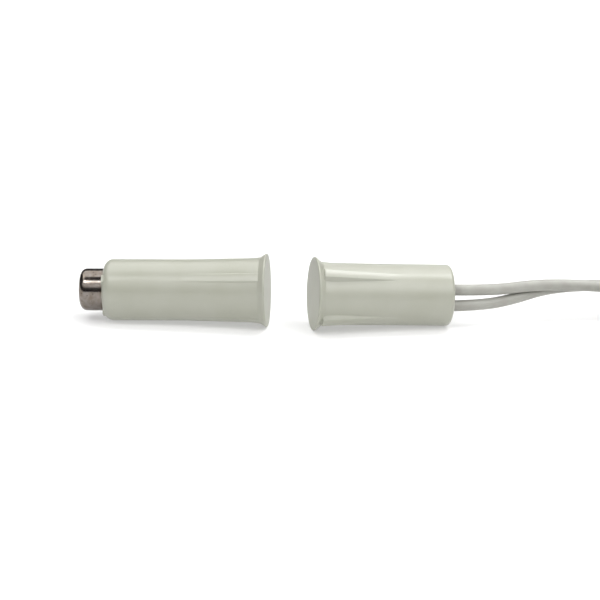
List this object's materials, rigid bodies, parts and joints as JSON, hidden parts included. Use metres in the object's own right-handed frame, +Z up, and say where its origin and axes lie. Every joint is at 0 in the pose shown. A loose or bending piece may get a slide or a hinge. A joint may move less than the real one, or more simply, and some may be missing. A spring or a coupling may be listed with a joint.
{
  "type": "recessed magnetic contact",
  "caption": "Recessed magnetic door or window contact: a magnet in a flared plastic barrel, and a reed switch potted in a matching barrel with wire leads.",
  "frame": {"origin": "on the surface, under the middle of the two halves", "axes": "+X from the magnet half to the switch half and on to the leads, +Z up"},
  "size_m": [0.1041, 0.0276, 0.011],
  "materials": {
    "housing_plastic": "moulded, satin gloss",
    "magnet_plating": "nickel plated, drawn",
    "adhesive": "cured glue",
    "potting": "cast resin",
    "capsule_glass": "drawn tube, sealed ends",
    "reed_metal": "nickel iron",
    "solder": "tin solder",
    "copper": "bare stranded copper",
    "wire_jacket": "soft insulation",
    "tie_plastic": "coated wire tie",
    "tinned_strand": "tinned strands"
  },
  "bodies": {
    "root": {"magnet_housing": "housing_plastic", "bar_magnet": "magnet_plating", "magnet_adhesive": "adhesive", "switch_housing": "housing_plastic", "potting_compound": "potting", "reed_capsule": "capsule_glass", "front_reed": "reed_metal", "rear_reed": "reed_metal", "front_solder_joint": "solder", "rear_solder_joint": "solder", "front_wire_conductor": "copper", "rear_wire_conductor": "copper", "front_wire_insulation": "wire_jacket", "rear_wire_insulation": "wire_jacket", "front_wire_run": "wire_jacket", "rear_wire_run": "wire_jacket", "wire_coil": "wire_jacket", "coil_tie": "tie_plastic", "front_wire_tip": "tinned_strand", "rear_wire_tip": "tinned_strand"}
  },
  "joints": []
}
